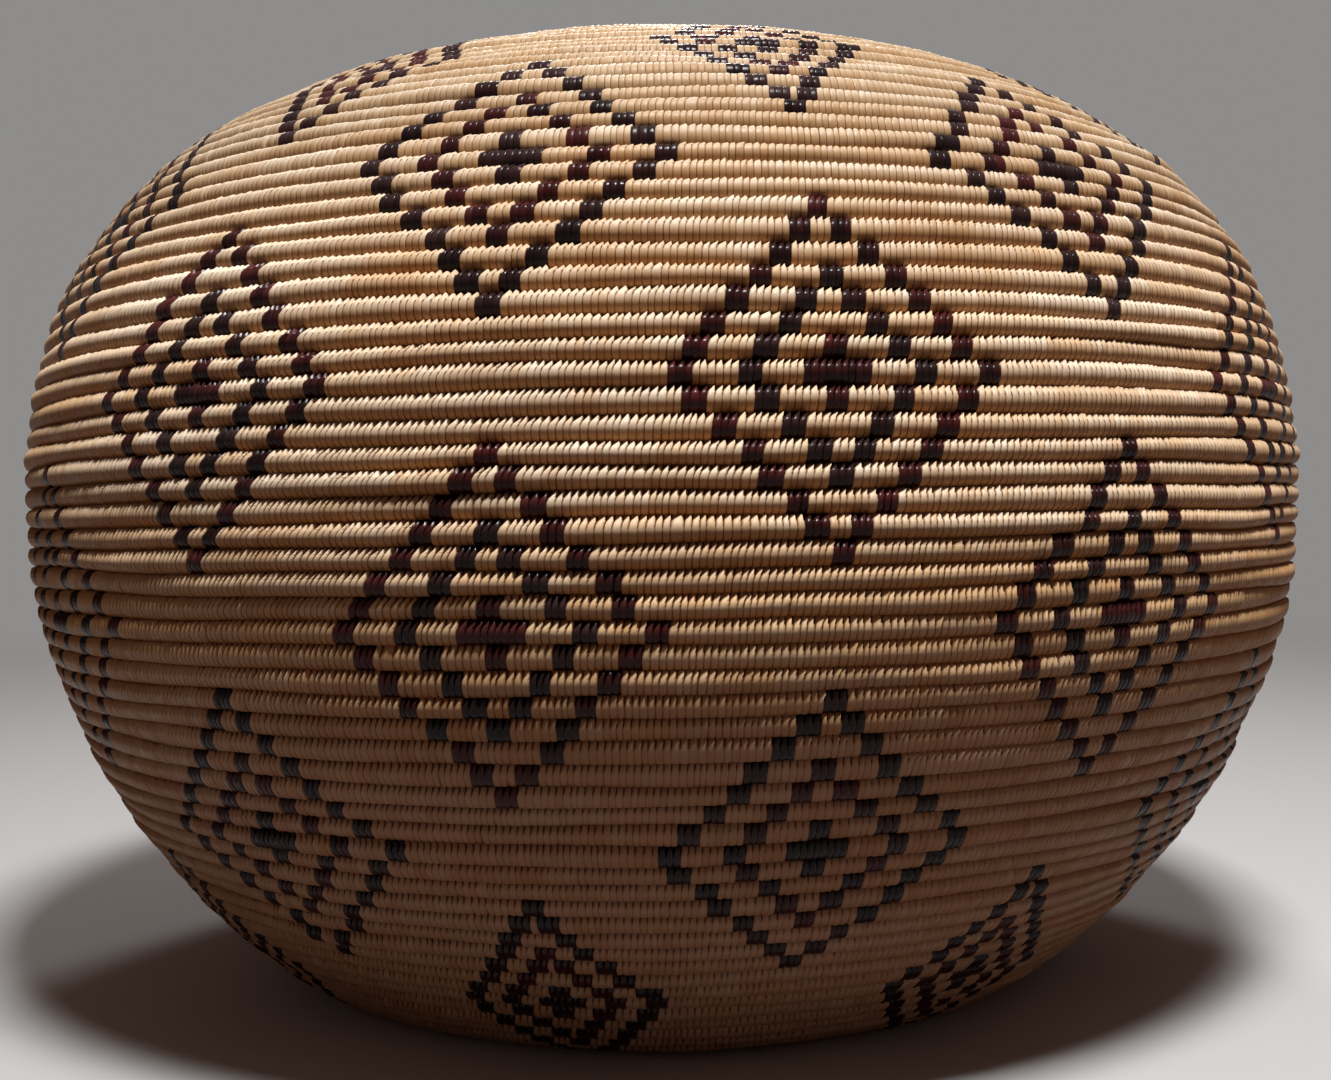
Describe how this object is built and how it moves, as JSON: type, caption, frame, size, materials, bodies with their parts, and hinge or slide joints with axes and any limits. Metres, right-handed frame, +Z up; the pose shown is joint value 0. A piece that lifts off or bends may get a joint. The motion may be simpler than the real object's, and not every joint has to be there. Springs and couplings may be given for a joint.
{
  "type": "coiled willow basket",
  "caption": "Globular coiled basket with a closed-in shoulder, an open round mouth and a flat base, sewn from one spiral coil.",
  "frame": {"origin": "middle of the base, on the plane that it stands on", "axes": "+Z up through the mouth; the pictured side faces -Y and +X is to its right"},
  "size_m": [0.4096, 0.4096, 0.2899],
  "materials": {
    "willow_splint": "peeled willow splints, satin, aged to straw brown",
    "dark_root_splint": "black-brown fern root splints, satin",
    "redbud_splint": "dark red-brown redbud splints, satin"
  },
  "bodies": {
    "root": {"start_knot": "willow_splint", "inner_base_coil": "willow_splint", "outer_base_coil": "willow_splint", "heel_coil": "willow_splint", "lower_wall_coil_1": "willow_splint", "lower_wall_coil_2": "willow_splint", "lower_wall_coil_3": "willow_splint", "lower_wall_coil_4": "willow_splint", "belly_coil_1": "willow_splint", "belly_coil_2": "willow_splint", "belly_coil_3": "willow_splint", "shoulder_coil_1": "willow_splint", "shoulder_coil_2": "willow_splint", "shoulder_coil_3": "willow_splint", "shoulder_coil_4": "willow_splint", "rim_coil": "willow_splint"}
  },
  "joints": []
}
